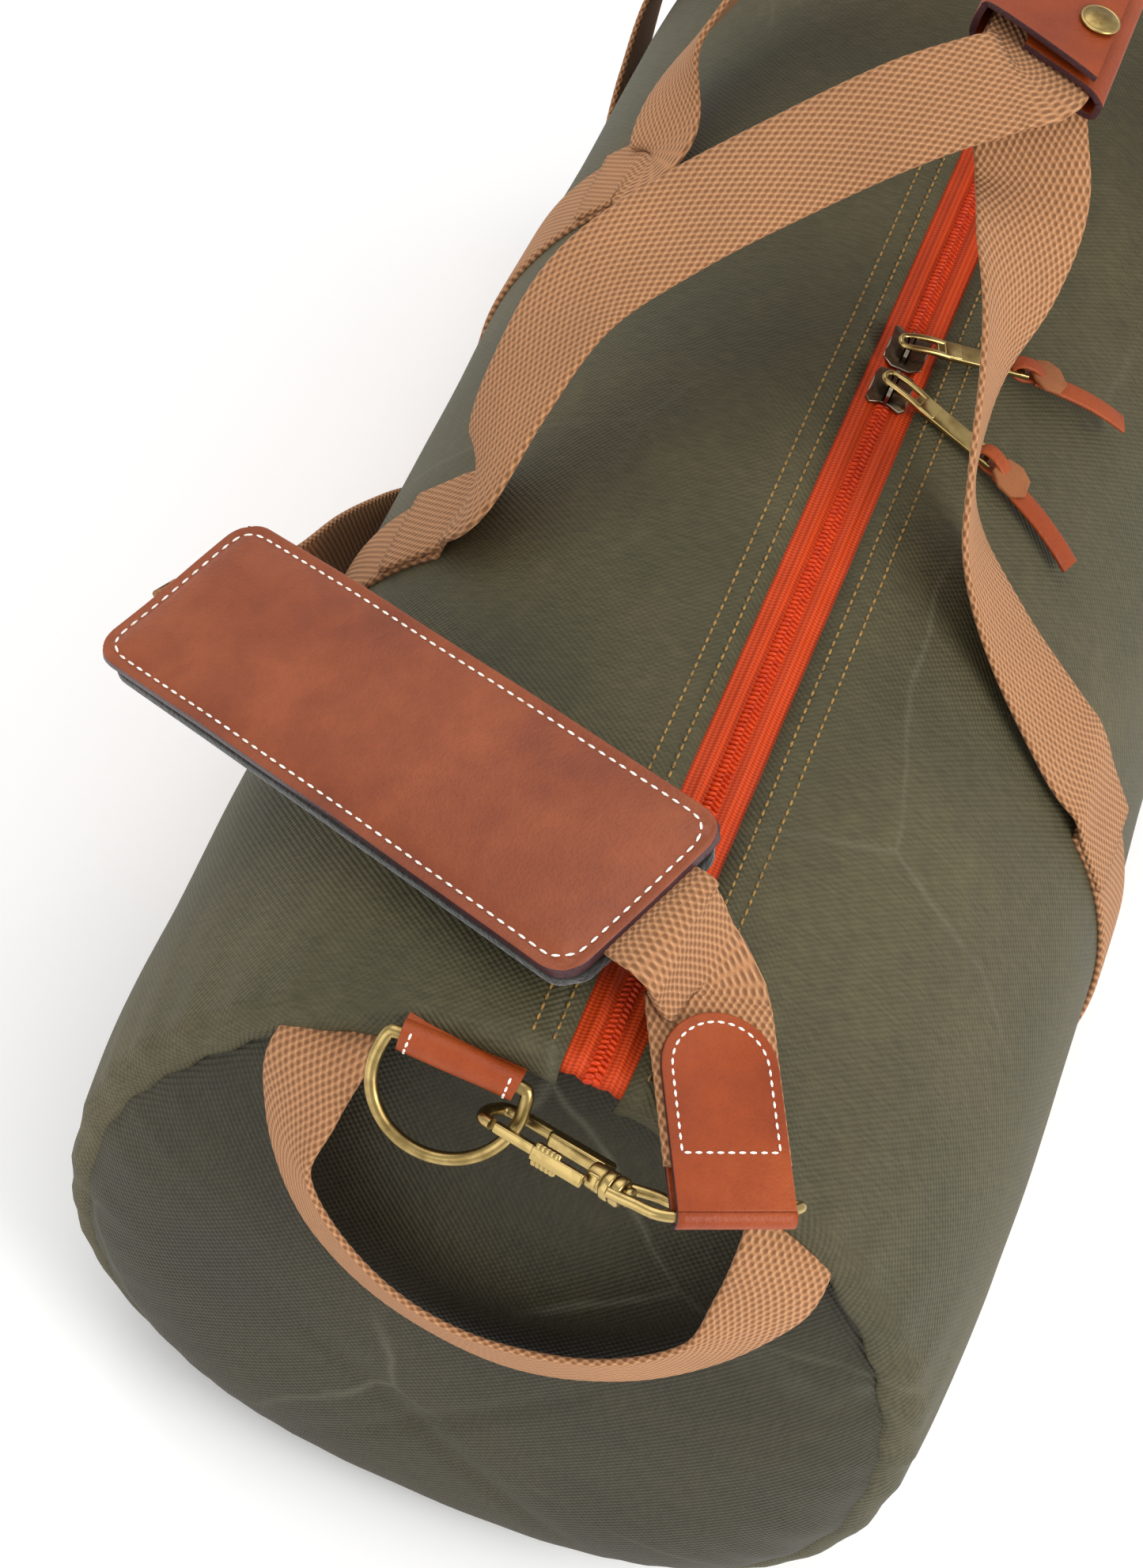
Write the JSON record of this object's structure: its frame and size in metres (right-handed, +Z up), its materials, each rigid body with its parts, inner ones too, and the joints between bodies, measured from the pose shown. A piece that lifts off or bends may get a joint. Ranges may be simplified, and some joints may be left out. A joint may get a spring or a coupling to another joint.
{
  "type": "duffel bag",
  "caption": "Barrel duffel bag in waxed canvas with webbing handles, leather hand wrap, two-way top zip, end grab loops and a padded shoulder strap on snap hooks.",
  "frame": {"origin": "on the floor, under the middle of the bag", "axes": "+X along the bag towards the far end, +Y to the bag's left side, +Z up"},
  "size_m": [0.6708, 0.3317, 0.3608],
  "materials": {
    "waxed_canvas": "waxed cotton canvas, olive grey",
    "lining_cloth": "plain cotton",
    "pocket_cloth": "plain cotton",
    "board": "stiff black sheet",
    "binding_tape": "grosgrain tape",
    "zip_tape": "orange woven tape",
    "zip_coil": "rust-red nylon coil",
    "antique_brass": "antiqued, satin",
    "cotton_webbing": "tan woven cotton",
    "felt": "black felt",
    "leather": "orange-tan, burnished edges"
  },
  "bodies": {
    "bag": {"band_far": "cotton_webbing", "band_near": "cotton_webbing", "base_board": "board", "d_ring_tab_far": "leather", "d_ring_tab_near": "leather", "end_handle_far": "cotton_webbing", "end_handle_near": "cotton_webbing", "end_panel_far": "waxed_canvas", "end_panel_near": "waxed_canvas", "handle_left": "cotton_webbing", "handle_right": "cotton_webbing", "inner_pocket": "pocket_cloth", "lining": "lining_cloth", "main_panel": "waxed_canvas", "pad_felt": "felt", "pad_leather": "leather", "seam_binding_far": "binding_tape", "seam_binding_near": "binding_tape", "strap_tab_far": "leather", "strap_tab_near": "leather", "strap_webbing": "cotton_webbing", "zip_coil_left": "zip_coil", "zip_coil_right": "zip_coil", "zip_tape_left": "zip_tape", "zip_tape_right": "zip_tape"},
    "slider_near": {"zip_slider_near": "antique_brass"},
    "link_near": {"pull_link_near": "antique_brass"},
    "pull_near": {"leather_pull_near": "leather"},
    "ring_near": {"d_ring_near": "antique_brass"},
    "eye_near": {"hook_eye_near": "antique_brass"},
    "snap_hook_near": {"hook_near": "antique_brass"},
    "bolt_near": {"hook_bolt_near": "antique_brass"},
    "slider_far": {"zip_slider_far": "antique_brass"},
    "link_far": {"pull_link_far": "antique_brass"},
    "pull_far": {"leather_pull_far": "leather"},
    "ring_far": {"d_ring_far": "antique_brass"},
    "eye_far": {"hook_eye_far": "antique_brass"},
    "snap_hook_far": {"hook_far": "antique_brass"},
    "bolt_far": {"hook_bolt_far": "antique_brass"},
    "grip": {"wrap_base": "leather", "snap_stud_near": "antique_brass", "snap_stud_far": "antique_brass"},
    "flap": {"wrap_flap": "leather", "snap_cap_near": "antique_brass", "snap_cap_far": "antique_brass", "snap_socket_near": "antique_brass", "snap_socket_far": "antique_brass"}
  },
  "joints": [
    {"name": "zip_run_near", "type": "slide", "parent": "bag", "child": "slider_near", "axis": [1, 0, 0], "range_m": [-0.16, 0]},
    {"name": "link_lift_near", "type": "hinge", "parent": "slider_near", "child": "link_near", "pos_m": [-0.0098, 0, 0.2606], "axis": [-1, 0, 0], "range_deg": [0, 30]},
    {"name": "leather_lift_near", "type": "hinge", "parent": "link_near", "child": "pull_near", "pos_m": [-0.02108, -0.0369, 0.25705], "axis": [-0.9563, 0.2924, 0], "range_deg": [0, 30]},
    {"name": "ring_swing_near", "type": "hinge", "parent": "bag", "child": "ring_near", "pos_m": [-0.3048, 0.035, 0.2445], "axis": [0, 1, 0], "range_deg": [-4, 4]},
    {"name": "eye_turn_near", "type": "hinge", "parent": "bag", "child": "eye_near", "pos_m": [-0.3185, -0.049, 0.2505], "axis": [0.4798, -0.8767, -0.0339], "range_deg": [-2, 2]},
    {"name": "hook_swivel_near", "type": "hinge", "parent": "eye_near", "child": "snap_hook_near", "pos_m": [-0.31257, 0.01455, 0.2364], "axis": [-0.2929, -0.9216, 0.2549], "range_deg": [-25, 25]},
    {"name": "bolt_slide_near", "type": "slide", "parent": "snap_hook_near", "child": "bolt_near", "axis": [-0.2929, -0.9216, 0.2549], "range_m": [0, 0.005], "stiffness_N_per_m": 300, "springref_m": -0.004},
    {"name": "zip_run_far", "type": "slide", "parent": "bag", "child": "slider_far", "axis": [1, 0, 0], "range_m": [0, 0.16]},
    {"name": "link_lift_far", "type": "hinge", "parent": "slider_far", "child": "link_far", "pos_m": [0.0098, 0, 0.2606], "axis": [-1, 0, 0], "range_deg": [0, 45]},
    {"name": "leather_lift_far", "type": "hinge", "parent": "link_far", "child": "pull_far", "pos_m": [0.023, -0.03627, 0.25722], "axis": [-0.9397, -0.342, 0], "range_deg": [0, 30]},
    {"name": "ring_swing_far", "type": "hinge", "parent": "bag", "child": "ring_far", "pos_m": [0.3048, 0.035, 0.2445], "axis": [0, 1, 0], "range_deg": [-4, 4]},
    {"name": "eye_turn_far", "type": "hinge", "parent": "bag", "child": "eye_far", "pos_m": [0.3185, -0.049, 0.2505], "axis": [0.4798, 0.8767, 0.0339], "range_deg": [-2, 2]},
    {"name": "hook_swivel_far", "type": "hinge", "parent": "eye_far", "child": "snap_hook_far", "pos_m": [0.31257, 0.01455, 0.2364], "axis": [0.2929, -0.9216, 0.2549], "range_deg": [-25, 25]},
    {"name": "bolt_slide_far", "type": "slide", "parent": "snap_hook_far", "child": "bolt_far", "axis": [0.2929, -0.9216, 0.2549], "range_m": [0, 0.005], "stiffness_N_per_m": 300, "springref_m": -0.004},
    {"name": "grip_lift", "type": "slide", "parent": "bag", "child": "grip", "axis": [0, 0, 1], "range_m": [0, 0.03], "deforming": ["handle_left", "handle_right"]},
    {"name": "flap_open", "type": "hinge", "parent": "grip", "child": "flap", "pos_m": [0.105, 0.024, 0.356], "axis": [-1, 0, 0], "range_deg": [0, 120]}
  ]
}
